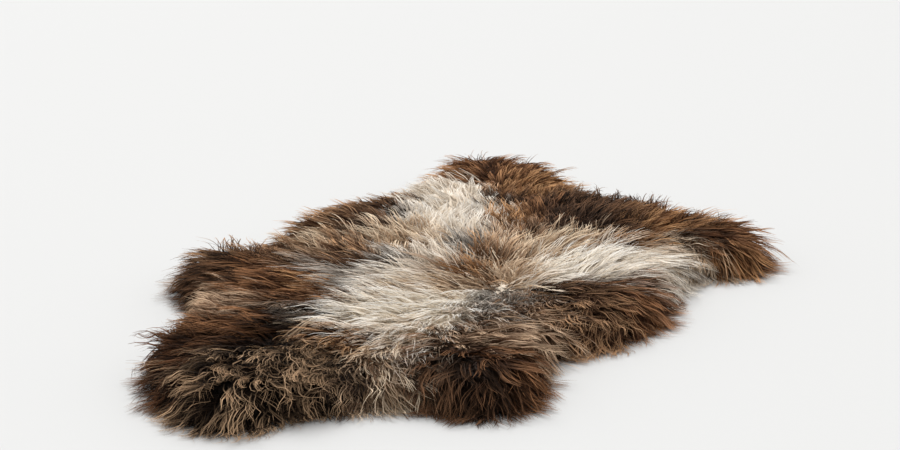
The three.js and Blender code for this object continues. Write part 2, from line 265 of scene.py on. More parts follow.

# Markings, in millimetres: the wool's own colours, and painted shade in its creases and at the side.
# Along and across are radii, and turn is the angle of along from +X in degrees.
markingColumns = ("place", "tone", "x", "y", "along", "across", "turn", "strength")
markings = [
    ("neck crown", "russet", -60, 470, 110, 64, 0, 1.9),
    ("neck left edge", "caramel", -140, 430, 80, 26, 85, 1.2),
    ("neck top", "caramel", 10, 395, 66, 54, 110, 1.9),
    ("neck right edge", "caramel", 62, 415, 44, 40, 0, 1.6),
    ("crest", "umber", -14, 296, 30, 20, 100, 1.5),
    ("neck root", "umber", 46, 288, 55, 24, 15, 1.5),
    ("blaze by the neck", "cream", -100, 322, 62, 46, 120, 1.5),
    ("blaze edge", "cream", -140, 262, 55, 26, 100, 1.4),
    ("blaze", "cream", -85, 195, 78, 48, 115, 1.6),
    ("blaze end", "cream", -26, 125, 46, 30, 100, 1.3),
    ("blaze left streak", "ash", -150, 198, 52, 16, 105, 1.2),
    ("blaze right side", "ash", -36, 176, 48, 17, 105, 1.3),
    ("back streak", "caramel", 16, 180, 76, 22, 95, 1.4),
    ("withers", "chestnut", 48, 225, 60, 32, 90, 1.4),
    ("right shoulder", "umber", 115, 212, 90, 58, 40, 1.6),
    ("right shoulder far side", "umber", 172, 252, 60, 38, -40, 1.3),
    ("right shoulder front", "chestnut", 222, 228, 46, 36, -40, 1.3),
    ("right shoulder gold", "caramel", 262, 170, 66, 32, -25, 1.6),
    ("right shoulder back", "umber", 105, 132, 45, 26, 10, 1.5),
    ("right shoulder under", "umber", 180, 152, 52, 24, 0, 1.4),
    ("right armpit band", "caramel", 235, 96, 58, 22, 5, 1.3),
    ("right armpit", "oat", 158, 112, 52, 16, 0, 1.2),
    ("right armpit strands", "oat", 276, 66, 40, 14, -10, 1.1),
    ("right foreleg", "russet", 345, 135, 62, 42, 0, 1.4),
    ("right foreleg band", "umber", 312, 92, 46, 16, 60, 1.3),
    ("right foreleg tip", "caramel", 402, 112, 60, 26, 60, 1.2),
    ("right foreleg lower side", "caramel", 368, 80, 66, 30, 40, 1.6),
    ("side", "white", 150, -25, 84, 40, 18, 1.5),
    ("side front", "cream", 232, 18, 62, 52, 60, 1.5),
    ("side edge", "ash", 282, 28, 34, 22, 80, 1.2),
    ("side under", "ash", 206, -92, 46, 16, 0, 1.2),
    ("back", "taupe", 22, 84, 52, 32, 90, 1.4),
    ("back brown", "caramel", -10, -60, 68, 25, 50, 1.4),
    ("back shade", "steel", -32, 52, 34, 15, 90, 1.3),
    ("back pale side", "oat", 82, 34, 66, 36, 60, 1.3),
    ("back pale low", "oat", 64, -72, 52, 34, 90, 1.2),
    ("swirl", "cream", 50, -140, 34, 26, 0, 1.3),
    ("beside the swirl", "taupe", 4, -140, 26, 18, 60, 1.1),
    ("back left", "oat", -45, -148, 46, 28, 20, 1.2),
    ("left streak", "oat", -114, 50, 62, 26, 105, 1.2),
    ("left streak pale", "cream", -84, 12, 42, 16, 105, 1.2),
    ("left spot", "steel", -128, -34, 34, 22, 90, 1.7),
    ("left low streak", "cream", -92, -124, 52, 26, 35, 1.2),
    ("left middle", "oat", -160, 22, 46, 24, 105, 1.1),
    ("left shoulder", "brindle", -235, 190, 92, 42, 70, 1.2),
    ("left shoulder far side", "brindle", -275, 120, 62, 28, 70, 1.2),
    ("left shoulder shade", "umber", -196, 88, 50, 18, -12, 1.5),
    ("by the blaze", "umber", -188, 166, 56, 24, 100, 1.6),
    ("left flank front", "brindle", -190, -42, 62, 32, 110, 1.1),
    ("left flank streak", "oat", -238, -8, 46, 16, 110, 1.0),
    ("left flank rim", "brindle", -275, -22, 52, 22, 90, 1.0),
    ("left grey streaks", "ash", -160, -178, 50, 16, -43, 1.4),
    ("left tan tuft", "caramel", -118, -172, 22, 12, 20, 1.2),
    ("left foreleg front", "brindle", -322, -62, 50, 32, 20, 1.3),
    ("left foreleg", "brindle", -352, -84, 46, 26, 30, 1.3),
    ("left foreleg shade", "umber", -358, -142, 52, 34, -60, 1.4),
    ("left flank", "russet", -265, -175, 78, 34, -45, 1.5),
    ("left flank tan", "caramel", -195, -214, 46, 16, -10, 1.1),
    ("left flank low", "taupe", -268, -298, 62, 20, -30, 1.2),
    ("left flank light streak", "oat", -228, -322, 44, 13, -10, 1.1),
    ("left flank back edge", "taupe", -345, -246, 62, 28, -60, 1.2),
    ("loin", "white", -86, -288, 74, 42, 12, 2.6),
    ("loin end", "umber", -192, -294, 44, 26, 10, 2.0),
    ("loin right", "white", -45, -240, 48, 32, 20, 1.6),
    ("loin upper", "cream", -85, -206, 62, 24, 10, 1.3),
    ("rump", "cream", -50, -338, 60, 28, -72, 1.8),
    ("curly band", "steel", 76, -222, 56, 24, 10, 1.7),
    ("curly band end", "brindle", 112, -166, 32, 18, 10, 1.2),
    # Painted shade at the side, beside the curly band
    ("side shade", "paintedShade", 138, -158, 20, 14, 0, 1.5),
    ("side shade right", "umber", 178, -156, 34, 18, -5, 1.4),
    ("rump streaks", "taupe", 100, -338, 62, 18, -20, 0.9),
    ("rump middle", "taupe", 30, -378, 46, 20, 0, 1.1),
    ("right flank", "brindle", 172, -206, 62, 36, 20, 1.3),
    ("right flank edge", "chestnut", 236, -138, 62, 30, 50, 1.5),
    ("right flank light edge", "russet", 272, -96, 74, 30, 75, 2.0),
    ("right flank low edge", "taupe", 192, -262, 60, 18, 40, 1.1),
    ("right groin", "taupe", 146, -288, 56, 22, -50, 1.1),
    ("right rump top", "chestnut", 62, -404, 70, 22, 0, 1.2),
    ("right rump", "umber", 60, -462, 76, 44, 0, 1.3),
    ("right rump side", "chestnut", 122, -424, 50, 24, 80, 1.2),
    ("tail", "oat", -26, -456, 56, 11, -57, 1.9),
    ("beside the tail", "taupe", -78, -440, 28, 17, 0, 1.2),
    ("above the tail", "caramel", -86, -402, 38, 16, 10, 1.3),
    # Painted shade in the creases beside the tail and across the left rump
    ("crease by the tail", "paintedShade", -70, -494, 30, 26, 60, 2.2),
    ("crease top", "paintedShade", -98, -468, 28, 16, -40, 1.8),
    ("left rump crease", "paintedShade", -200, -392, 80, 26, 62, 2.0),
    ("left rump crease end", "paintedShade", -238, -474, 60, 16, 75, 1.5),
    ("left thigh", "russet", -265, -372, 70, 32, 70, 1.3),
    ("left thigh tuft", "caramel", -286, -396, 30, 15, 0, 1.1),
    ("left rump side", "walnut", -298, -458, 96, 50, 70, 2.3),
    ("left rump", "gilded", -165, -482, 92, 54, 10, 1.6),
    ("left rump top", "brindle", -126, -404, 50, 24, 10, 1.2),
    ("left rump spot", "oat", -150, -350, 30, 13, 0, 1.1),
]

# Where the wool is curly, in the same columns but for the tone
curlColumns = ("place", "x", "y", "along", "across", "turn", "strength")
curls = [
    ("left rump", -165, -480, 120, 80, 15, 1.0),
    ("curly band", 80, -222, 72, 36, 10, 0.7),
    ("left thigh", -285, -395, 70, 40, 70, 0.7),
    ("beside the tail", -80, -440, 60, 40, 90, 0.9),
    ("right flank", 185, -205, 90, 60, 30, 0.6),
    ("left foreleg", -350, -140, 70, 45, -45, 0.4),
    ("right foreleg", 350, 80, 70, 45, 60, 0.4),
    ("right armpit", 225, 95, 70, 30, 0, 0.5),
    ("right rump", 60, -440, 90, 55, 0, 0.35),
]

markingRules = {
    "falloff": 1.1,  # how quickly a marking fades past its middle
    "contrast": 2.8,  # a power: the higher, the sharper where two markings meet
    "borders": [(0.013, 0.09), (0.006, 0.03)],  # how far the borders wander, and over what length
    "seedsX": (11, 12),
    "seedsY": (13, 14),
    "leastCurl": 0.08,
}


# Colour values from 0 to 255 as the linear ones that a shader takes
def linearColour(colour):
    share = np.array(colour) / 255
    return np.where(share <= 0.04045, share / 12.92, ((share + 0.055) / 1.055) ** 2.4)


# How strongly an oval spot reaches each place: by its whole strength at its middle
def spotWeight(x, y, spot):
    turn = math.radians(spot["turn"])
    dx, dy = x - spot["x"] / 1000, y - spot["y"] / 1000
    along = (dx * math.cos(turn) + dy * math.sin(turn)) / (spot["along"] / 1000)
    across = (dy * math.cos(turn) - dx * math.sin(turn)) / (spot["across"] / 1000)
    return spot["strength"] * np.exp(-markingRules["falloff"] * (along * along + across * across))


# One coordinate, moved to and fro so that no marking has a smooth border
def wandering(value, x, y, seeds):
    for seed, (reach, size) in zip(seeds, markingRules["borders"]):
        value = value + reach * ripple(x, y, size, seed)
    return value


def tonesAt(x, y):
    wornX = wandering(x, x, y, markingRules["seedsX"])
    wornY = wandering(y, x, y, markingRules["seedsY"])
    body = np.zeros((len(x), 3))
    tip = np.zeros((len(x), 3))
    total = np.zeros(len(x))
    for row in markings:
        spot = dict(zip(markingColumns, row))
        weight = spotWeight(wornX, wornY, spot) ** markingRules["contrast"] + tiny
        tone = woolTones[spot["tone"]]
        body += weight[:, None] * linearColour(tone["body"])
        tip += weight[:, None] * linearColour(tone["tip"])
        total += weight
    return body / total[:, None], tip / total[:, None]


def curlAt(x, y):
    most = np.full(len(x), markingRules["leastCurl"])
    for row in curls:
        most = np.maximum(most, spotWeight(x, y, dict(zip(curlColumns, row))))
    return np.clip(most, 0, 1)


# The felted base that the long wool grows from

baseSettings = {
    "step": 0.008,
    "rimFromHide": 0.022,  # out from the edge of the hide
    "rimRound": 0.030,  # over which the rim rises from the floor
    "rimThick": 0.004,
    "share": 0.68,  # of the fleece's whole height
    "hideReach": 0.009,  # out to here the underside clears the hide, and past it the floor
    "underHide": 0.0035,
    "underRim": 0.0006,
}
# How the wool lies on the base. Shorter, calmer and flatter are shares that are taken away.
lieSettings = {
    "whorl": {"at": (0.050, -0.145), "size": 0.05, "shorter": 0.3, "stray": 1.6},  # it lies away from here
    "tangle": {"at": (0.078, -0.222), "size": 0.06, "shorter": 0.2, "stray": 2.2},  # here it lies every way
    "combed": {"at": (-0.070, 0.210), "size": 0.15, "calmer": 0.55, "flatter": 0.52},  # and here all one way
    "fans": [((0.035, -0.425), 0.075), ((-0.175, -0.400), 0.050)],  # it lies away from these too, close by
    "bend": {"most": 0.42, "size": 0.13, "seed": 21},
    "patches": {"most": 0.12, "size": 0.11, "seed": 31},  # of longer and shorter wool
    "front": {"over": (0.05, 0.35), "shorter": 0.22, "rimKeeps": 0.7, "steeper": 0.35},  # towards the neck
    "rim": {"inside": 0.14, "outward": 1.3, "flatter": 0.45},  # it turns straight out over the rim
    "rimLength": {"middle": 0.89, "shorterAhead": 0.20, "gainSize": 0.08},
    "rimGains": [
        ((-0.345, -0.33), -0.60), ((-0.335, -0.235), -0.55), ((-0.385, -0.09), 0.48), ((-0.30, -0.48), 0.42),
        ((-0.30, 0.17), -0.25), ((-0.13, 0.42), 0.08), ((0.05, 0.50), -0.12), ((0.40, 0.12), 0.42),
        ((0.34, 0.20), 0.06), ((0.28, -0.12), 0.30), ((0.20, -0.29), 0.22), ((0.14, -0.42), 0.28),
    ],
    "shortest": 1e-4,  # a point this near to a whorl or fan is on it
}


# 1 at a spot, and less further out
def nearness(flat, spot, size):
    return np.exp(-np.sum((flat - np.array(spot)) ** 2, axis=1) / size**2)


# The direction of each point from a spot
def awayFrom(flat, spot):
    vectors = flat - np.array(spot)
    return vectors / np.maximum(np.linalg.norm(vectors, axis=1, keepdims=True), lieSettings["shortest"])


def rippled(flat, wave):
    return wave["most"] * ripple(flat[:, 0], flat[:, 1], wave["size"], wave["seed"])


def baseHeights(flat, away, settings):
    whole = np.array([fleeceHeight(x, y) for x, y in flat])
    inset = np.clip((settings["rimFromHide"] - away) / settings["rimRound"], 0, 1)
    rounding = np.sqrt(1 - (1 - inset) ** 2)
    upper = settings["rimThick"] + settings["share"] * whole * rounding
    lower = np.where(away < settings["hideReach"], settings["underHide"], settings["underRim"])
    return upper, lower


# The direction in which the wool lies, along the surface
def woolFlow(flat, out, nearRim, normals, settings):
    lie = awayFrom(flat, settings["whorl"]["at"])
    for place, size in settings["fans"]:
        share = nearness(flat, place, size)[:, None]
        lie = lie * (1 - share) + awayFrom(flat, place) * share
    edge = nearRim[:, None]
    lie = lie * (1 - edge) + out * edge * settings["rim"]["outward"]
    bend = rippled(flat, settings["bend"])
    turned = np.column_stack([lie[:, 0] - bend * lie[:, 1], lie[:, 1] + bend * lie[:, 0]])
    flow = np.column_stack([turned, np.zeros(len(flat))])
    flow -= normals * np.sum(flow * normals, axis=1, keepdims=True)
    return flow / np.maximum(np.linalg.norm(flow, axis=1, keepdims=True), tiny)


# How long the wool is, how steeply it rises and how far it strays, beside 1 for a layer's own value
def woolStand(flat, out, nearRim, settings):
    whorl, tangle, combed = settings["whorl"], settings["tangle"], settings["combed"]
    spots = (whorl, tangle, combed)
    atWhorl, atTangle, atCombed = (nearness(flat, spot["at"], spot["size"]) for spot in spots)
    front, rim, rimLength = settings["front"], settings["rim"], settings["rimLength"]
    atFront = smoothStep(*front["over"], flat[:, 1])
    gains = sum(gain * nearness(flat, spot, rimLength["gainSize"]) for spot, gain in settings["rimGains"])
    rimShare = rimLength["middle"] - rimLength["shorterAhead"] * out[:, 1] + gains
    pile = (1 + rippled(flat, settings["patches"])) * (1 + (rimShare - 1) * nearRim)
    pile *= 1 - whorl["shorter"] * atWhorl - tangle["shorter"] * atTangle
    pile *= 1 - front["shorter"] * atFront * (1 - front["rimKeeps"] * nearRim)
    lift = 1 - rim["flatter"] * nearRim * (1 - np.clip(out[:, 1], 0, 1))
    lift *= 1 + front["steeper"] * atFront
    lift *= 1 - combed["flatter"] * atCombed
    stray = 1 + whorl["stray"] * atWhorl + tangle["stray"] * atTangle
    stray *= 1 - combed["calmer"] * atCombed
    return {"pile": pile, "lift": lift, "stray": stray}


def storeVectors(mesh, vectors):
    for name, values in vectors.items():
        attribute = mesh.attributes.new(name, "FLOAT_VECTOR", "POINT")
        attribute.data.foreach_set("vector", values.ravel())


# The base, and a guide: its upper side, with how the wool lies at each of its points
def makeBase(settings, lying):
    flat, faces, rim = clippedGrid(settings["step"], settings["rimFromHide"])
    edges = [fromHideEdge(x, y) for x, y in flat]
    away = np.array([edge[0] for edge in edges])
    out = np.array([tuple(edge[1]) for edge in edges])
    upper, lower = baseHeights(flat, away, settings)
    base = slabMesh("woolBase", flat, faces, rim, upper, lower)
    body, tip = tonesAt(flat[:, 0], flat[:, 1])
    storeVectors(base.data, {"bodyTone": np.vstack([body, body]), "tipTone": np.vstack([tip, tip])})

    guide = bpy.data.meshes.new("woolGuide")
    guide.from_pydata(np.column_stack([flat, upper]).tolist(), [], faces)
    guide.update()
    normals = np.zeros(len(flat) * 3)
    guide.vertex_normals.foreach_get("vector", normals)
    normals = normals.reshape(-1, 3)
    nearRim = smoothStep(-lying["rim"]["inside"], settings["rimFromHide"], away)
    flow = woolFlow(flat, out, nearRim, normals, lying)
    storeVectors(guide, {"flow": flow, "standing": normals, "bodyTone": body, "tipTone": tip})
    numbers = {"curl": curlAt(flat[:, 0], flat[:, 1]), "rim": nearRim}
    for name, values in (numbers | woolStand(flat, out, nearRim, lying)).items():
        attribute = guide.attributes.new(name, "FLOAT", "POINT")
        attribute.data.foreach_set("value", values)
    return base, guide


woolBase, woolGuide = makeBase(baseSettings, lieSettings)
print("base:", len(woolBase.data.polygons), "faces")

# Strands of wool, by Geometry Nodes


# A value in a node tree that can be added and multiplied as a number is
class Field:
    def __init__(self, tree, socket):
        self.tree = tree
        self.socket = socket

    def __add__(self, other):
        return calculate(self.tree, "ADD", self, other)

    def __sub__(self, other):
        return calculate(self.tree, "SUBTRACT", self, other)

    def __rsub__(self, other):
        return calculate(self.tree, "SUBTRACT", other, self)

    def __mul__(self, other):
        return calculate(self.tree, "MULTIPLY", self, other)


def addNode(tree, kind, inputs=None, **settings):
    node = tree.nodes.new(kind)
    for key, value in settings.items():
        setattr(node, key, value)
    for key, value in (inputs or {}).items():
        if isinstance(value, Field):
            tree.links.new(value.socket, node.inputs[key])
        elif isinstance(value, bpy.types.NodeSocket):
            tree.links.new(value, node.inputs[key])
        else:
            node.inputs[key].default_value = value
    return node


def isVector(value):
    if isinstance(value, Field):
        return value.socket.type in ("VECTOR", "RGBA")
    return isinstance(value, tuple)


def calculate(tree, operation, first, second=0.0):
    if not isVector(first) and not isVector(second):
        node = addNode(tree, "ShaderNodeMath", {0: first, 1: second}, operation=operation)
        return Field(tree, node.outputs[0])
    if operation == "MULTIPLY" and isVector(first) != isVector(second):
        vector, number = (first, second) if isVector(first) else (second, first)
        node = addNode(tree, "ShaderNodeVectorMath", {0: vector, "Scale": number}, operation="SCALE")
        return Field(tree, node.outputs["Vector"])
    node = addNode(tree, "ShaderNodeVectorMath", {0: first, 1: second}, operation=operation)
    return Field(tree, node.outputs["Vector"])


def sine(field):
    return calculate(field.tree, "SINE", field)


def cosine(field):
    return calculate(field.tree, "COSINE", field)


def power(field, exponent):
    return calculate(field.tree, "POWER", field, exponent)


def easeBetween(tree, value, low, high):
    inputs = {"Value": value, "From Min": low, "From Max": high}
    node = addNode(tree, "ShaderNodeMapRange", inputs, interpolation_type="SMOOTHSTEP")
    return Field(tree, node.outputs["Result"])


def blendTo(first, second, share):
    return first + (second - first) * share


# The first of a pair, and as much of the second as the share says
def vary(share, pair):
    least, more = pair
    return share * more + least


def named(tree, name, kind="FLOAT_VECTOR"):
    node = addNode(tree, "GeometryNodeInputNamedAttribute", {"Name": name}, data_type=kind)
    return Field(tree, node.outputs["Attribute"])


def position(tree):
    return Field(tree, tree.nodes.new("GeometryNodeInputPosition").outputs[0])


# Three random shares for each number, as one vector
def dice(tree, number, seed):
    place = addNode(tree, "ShaderNodeCombineXYZ", {"X": number, "Y": seed})
    noise = addNode(tree, "ShaderNodeTexWhiteNoise", {"Vector": place.outputs[0]}, noise_dimensions="2D")
    return Field(tree, noise.outputs["Color"])


# The same, but from -0.5 to 0.5
def eitherWay(tree, number, seed):
    return dice(tree, number, seed) - (0.5, 0.5, 0.5)


def parts(field):
    node = addNode(field.tree, "ShaderNodeSeparateXYZ", {0: field})
    return [Field(field.tree, socket) for socket in node.outputs]


def keep(tree, geometry, name, value, kind="FLOAT_VECTOR", domain="POINT"):
    inputs = {"Geometry": geometry, "Name": name, "Value": value}
    node = addNode(tree, "GeometryNodeStoreNamedAttribute", inputs, data_type=kind, domain=domain)
    return node.outputs["Geometry"]


# A new tree of nodes with its sockets, and the fields that come in through them
def startTree(name, kind, inputs, outputs):
    tree = bpy.data.node_groups.new(name, kind)
    for way, sockets in (("INPUT", inputs), ("OUTPUT", outputs)):
        for label, holds in sockets:
            tree.interface.new_socket(label, in_out=way, socket_type="NodeSocket" + holds)
    entry = tree.nodes.new("NodeGroupInput")
    return tree, {socket.name: Field(tree, socket) for socket in entry.outputs if socket.name}


woolNumbers = (
    "Strands", "Lock Spacing", "Width", "Length", "Spread", "Rise", "Gather", "Gathered By", "Swing",
    "Curl Size", "Turns", "Wander", "Curly Only", "Rim Only", "Tone Ahead", "Tone Scatter",
)
woolInputs = [("Geometry", "Geometry"), ("Steps", "Int"), ("Seed", "Int"), ("Material", "Material")]
woolInputs += [(name, "Float") for name in woolNumbers]  # strands are counted for a square metre
plantRules = {
    "offered": 3.0,  # places tried for each lock
    "lockSeed": 5,
    "straight": 1.12,  # share of a layer's strands where the wool is straight
    "curlyLess": 0.72,  # and how much less where it is curly
    "curlyPower": 1.3,  # how quickly the curls' own layer thins out
    "rimPower": 2.0,  # and the rim's
    "rimCurlyLess": 0.75,
    "shake": 0.5,  # of the spacing: a strand may join a lock that isn't the nearest
}
diceSeeds = {"shake": 77.0, "lockChance": 31.0, "tone": 63.0, "lockShape": 47.0}
# In the next four a pair is the least and how much more there is, by chance unless its note says otherwise
strandRules = {
    "ownSwing": 0.3,  # of its lock's
    "length": (0.78, 0.45),
    "rise": (0.5, 1.0),
    "bow": (1.65, -0.95),  # how steeply it climbs at its root, and how much less at its tip
    "gather": (0.7, 0.3),
    "gatherFrom": 0.02,
    "gatherEarly": 0.8,
    "gatherLate": 0.2,
    "lateOver": (0.45, 1.0),  # from and to, along the strand
}
curlRules = {
    "curlyTurns": (0.8, 0.4),  # by how curly the wool is
    "lockTurns": (0.6, 0.8),
    "ownPhase": 0.07,
    "slow": {"turns": 0.43, "lockPhase": 3.0, "ownPhase": 0.05, "share": 0.9},  # a second, slower wave
    "straightSize": 0.22,
    "size": (0.5, 1.0),
    "fullBy": 0.4,  # along the strand
    "aside": 0.8,
    "upward": 0.7,
    "wanderTurns": 1.4,
}
widthRules = {"facing": 1.9, "taperPower": 1.6, "taper": 0.86, "width": (0.7, 0.6)}  # facing is in radians
# Strands bend over from the knee, none reaches the top, and their tips rest just above the floor
woolHeights = {"knee": 0.056, "top": 0.0745, "resting": (0.0006, 0.004)}
bakeCells = {"across": 256, "along": 80, "halfWidth": 0.3, "margin": 0.08, "length": 0.84}


# Locks stand evenly over the guide, and each strand belongs to one that is close by
def plantStrands(tree, given):
    rules = plantRules
    guide = given["Geometry"]
    spacing = given["Lock Spacing"]
    crowd = calculate(tree, "DIVIDE", rules["offered"], spacing * spacing)
    inputs = {"Mesh": guide, "Distance Min": spacing, "Density Max": crowd, "Seed": rules["lockSeed"]}
    locks = addNode(tree, "GeometryNodeDistributePointsOnFaces", inputs, distribute_method="POISSON")
    locks = locks.outputs["Points"]
    curly = named(tree, "curl", "FLOAT")
    straight = rules["straight"] - curly * rules["curlyLess"]
    share = blendTo(straight, power(curly, rules["curlyPower"]), given["Curly Only"])
    atRim = power(named(tree, "rim", "FLOAT"), rules["rimPower"]) * (1.0 - curly * rules["rimCurlyLess"])
    density = given["Strands"] * blendTo(share, atRim, given["Rim Only"])
    inputs = {"Mesh": guide, "Density": density, "Seed": given["Seed"]}
    roots = addNode(tree, "GeometryNodeDistributePointsOnFaces", inputs, distribute_method="RANDOM")
    number = Field(tree, tree.nodes.new("GeometryNodeInputIndex").outputs[0])
    points = keep(tree, roots.outputs["Points"], "strand", number, "FLOAT")
    points = keep(tree, points, "chance", dice(tree, number, given["Seed"]))
    points = keep(tree, points, "rootAt", position(tree))
    shake = eitherWay(tree, number, diceSeeds["shake"]) * (spacing * rules["shake"])
    inputs = {"Geometry": locks, "Sample Position": position(tree) + shake}
    nearest = addNode(tree, "GeometryNodeSampleNearest", inputs)
    return keep(tree, points, "lock", Field(tree, nearest.outputs["Index"]), "FLOAT"), locks


# Each strand takes the place, lie and chances of its lock, and the tone that lies a little ahead
def shareLocks(tree, given, points, locks):
    lock = named(tree, "lock", "FLOAT")
    shared = {"lockAt": position(tree), "flow": named(tree, "flow"), "standing": named(tree, "standing")}
    for name, value in shared.items():
        inputs = {"Geometry": locks, "Value": value, "Index": lock}
        node = addNode(tree, "GeometryNodeSampleIndex", inputs, data_type="FLOAT_VECTOR")
        points = keep(tree, points, name, Field(tree, node.outputs["Value"]))
    for name in ("lockChance", "lockShape"):
        points = keep(tree, points, name, dice(tree, lock, diceSeeds[name]))
    scatter = eitherWay(tree, lock, diceSeeds["tone"]) * given["Tone Scatter"]
    toneAt = named(tree, "lockAt") + named(tree, "flow") * given["Tone Ahead"] + scatter
    for name in ("bodyTone", "tipTone"):
        inputs = {"Mesh": given["Geometry"], "Value": named(tree, name), "Sample Position": toneAt}
        node = addNode(tree, "GeometryNodeSampleNearestSurface", inputs, data_type="FLOAT_VECTOR")
        points = keep(tree, points, name, Field(tree, node.outputs["Value"]))
    return points


# One ribbon, two points wide and so many steps long, stands at each root
def placeRibbons(tree, given, points):
    inputs = {"Size X": 2.0, "Size Y": 1.0, "Vertices X": 2, "Vertices Y": given["Steps"] + 1.0}
    grid = addNode(tree, "GeometryNodeMeshGrid", inputs)
    gridX, gridY, _ = parts(position(tree))
    ribbon = keep(tree, grid.outputs["Mesh"], "across", gridX, "FLOAT")
    ribbon = keep(tree, ribbon, "along", gridY + 0.5, "FLOAT")
    placed = addNode(tree, "GeometryNodeInstanceOnPoints", {"Points": points, "Instance": ribbon})
    realized = addNode(tree, "GeometryNodeRealizeInstances", {"Geometry": placed.outputs["Instances"]})
    return realized.outputs["Geometry"]


# What is known at each point of a strand. Chances named own are the strand's, and the rest its lock's.
def readStrand(tree):
    at = {name: named(tree, name, "FLOAT") for name in ("along", "across", "curl", "pile", "lift", "stray")}
    at |= {name: named(tree, name) for name in ("flow", "standing", "rootAt", "lockAt")}
    at["side"] = calculate(tree, "CROSS_PRODUCT", at["flow"], at["standing"])
    at["turnChance"], at["lengthChance"], at["riseChance"] = parts(named(tree, "lockChance"))
    at["phaseChance"], _, at["gatherChance"] = parts(named(tree, "lockShape"))
    at["ownTurn"], at["ownLength"], at["ownPhase"] = parts(named(tree, "chance"))
    return at


# It leaves the base, levels out along the flow, and draws in to the middle line of its lock
def strandPath(tree, given, at):
    rules = strandRules
    along = at["along"]
    swing = (at["turnChance"] - 0.5) + (at["ownTurn"] - 0.5) * rules["ownSwing"]
    swing = swing * given["Swing"] * at["stray"]
    heading = at["flow"] * cosine(swing) + at["side"] * sine(swing)
    length = given["Length"] * at["pile"] * vary(at["lengthChance"], rules["length"])
    length = length * ((at["ownLength"] - 0.5) * given["Spread"] + 1.0)
    rise = length * given["Rise"] * vary(at["riseChance"], rules["rise"]) * at["lift"]
    bow = along * vary(along, rules["bow"])
    path = heading * (length * along) + at["standing"] * (rise * bow)
    early = easeBetween(tree, along, rules["gatherFrom"], given["Gathered By"]) * rules["gatherEarly"]
    late = easeBetween(tree, along, *rules["lateOver"]) * rules["gatherLate"]
    gather = given["Gather"] * vary(at["gatherChance"], rules["gather"]) * (early + late)
    return blendTo(at["rootAt"] + path, at["lockAt"] + path, gather)


# It waves to both sides and up and down, most of all where the wool is curly
def curlStrand(tree, given, at, strand):
    rules = curlRules
    slow = rules["slow"]
    fullTurn = 2 * math.pi
    along = at["along"]
    turns = given["Turns"] * along * vary(at["curl"], rules["curlyTurns"])
    turns = turns * vary(at["lengthChance"], rules["lockTurns"])
    angle = (turns + at["phaseChance"] + at["ownPhase"] * rules["ownPhase"]) * fullTurn
    slowTurns = turns * slow["turns"] + at["turnChance"] * slow["lockPhase"]
    slowTurns = slowTurns + at["ownTurn"] * slow["ownPhase"]
    size = given["Curl Size"] * (at["curl"] + rules["straightSize"]) * vary(at["gatherChance"], rules["size"])
    size = size * easeBetween(tree, along, 0.0, rules["fullBy"])
    weave = sine(angle) + sine(slowTurns * fullTurn) * slow["share"]
    strand = strand + at["side"] * (size * rules["aside"] * weave)
    strand = strand + at["standing"] * (size * rules["upward"] * cosine(angle))
    wander = sine((along * rules["wanderTurns"] + at["ownPhase"]) * fullTurn)
    return strand + at["side"] * (given["Wander"] * along * wander)


# Its width is turned at random from facing up, and narrows towards the tip
def widenStrand(given, at, strand):
    facing = (at["ownPhase"] - 0.5) * widthRules["facing"]
    wide = at["side"] * cosine(facing) + at["standing"] * sine(facing)
    taper = power(at["along"], widthRules["taperPower"]) * -widthRules["taper"] + 1.0
    halfWidth = given["Width"] * 0.5 * taper * vary(at["ownTurn"], widthRules["width"])
    return strand + wide * (halfWidth * at["across"])


def levelStrand(tree, at, strand):
    knee = woolHeights["knee"]
    room = woolHeights["top"] - knee
    x, y, z = parts(strand)
    over = calculate(tree, "MAXIMUM", z - knee, 0.0)
    eased = (1.0 - calculate(tree, "EXPONENT", over * (-1 / room))) * room
    level = calculate(tree, "MINIMUM", z, knee) + eased
    level = calculate(tree, "MAXIMUM", level, vary(at["ownLength"], woolHeights["resting"]))
    return addNode(tree, "ShaderNodeCombineXYZ", {"X": x, "Y": y, "Z": level}).outputs[0]


# Each strand has a small cell of its own in the layout for baking
def chartStrands(tree, at, geometry):
    across, along = bakeCells["across"], bakeCells["along"]
    number = named(tree, "strand", "FLOAT")
    column = calculate(tree, "MODULO", number, float(across))
    row = calculate(tree, "MODULO", calculate(tree, "FLOOR", number * (1 / across)), float(along))
    cellU = (column + 0.5 + at["across"] * bakeCells["halfWidth"]) * (1 / across)
    cellV = (row + bakeCells["margin"] + at["along"] * bakeCells["length"]) * (1 / along)
    layout = addNode(tree, "ShaderNodeCombineXYZ", {"X": cellU, "Y": cellV})
    return keep(tree, geometry, "OFBake", Field(tree, layout.outputs[0]), "FLOAT2", "CORNER")


def makeWoolTree():
    tree, given = startTree("growWool", "GeometryNodeTree", woolInputs, [("Geometry", "Geometry")])
    points, locks = plantStrands(tree, given)
    ribbons = placeRibbons(tree, given, shareLocks(tree, given, points, locks))
    at = readStrand(tree)
    strand = strandPath(tree, given, at)
    strand = curlStrand(tree, given, at, strand)
    strand = widenStrand(given, at, strand)
    inputs = {"Geometry": ribbons, "Position": levelStrand(tree, at, strand)}
    laid = addNode(tree, "GeometryNodeSetPosition", inputs)
    charted = chartStrands(tree, at, laid.outputs["Geometry"])
    smooth = addNode(tree, "GeometryNodeSetShadeSmooth", {"Geometry": charted})
    inputs = {"Geometry": smooth.outputs[0], "Material": given["Material"]}
    finished = addNode(tree, "GeometryNodeSetMaterial", inputs)
    addNode(tree, "NodeGroupOutput", {"Geometry": finished.outputs[0]})
    return tree


growWool = makeWoolTree()
spareAttributes = (
    "strand", "rootAt", "lock", "lockAt", "flow", "standing", "lockShape",
    "curl", "pile", "lift", "stray", "rim",
)


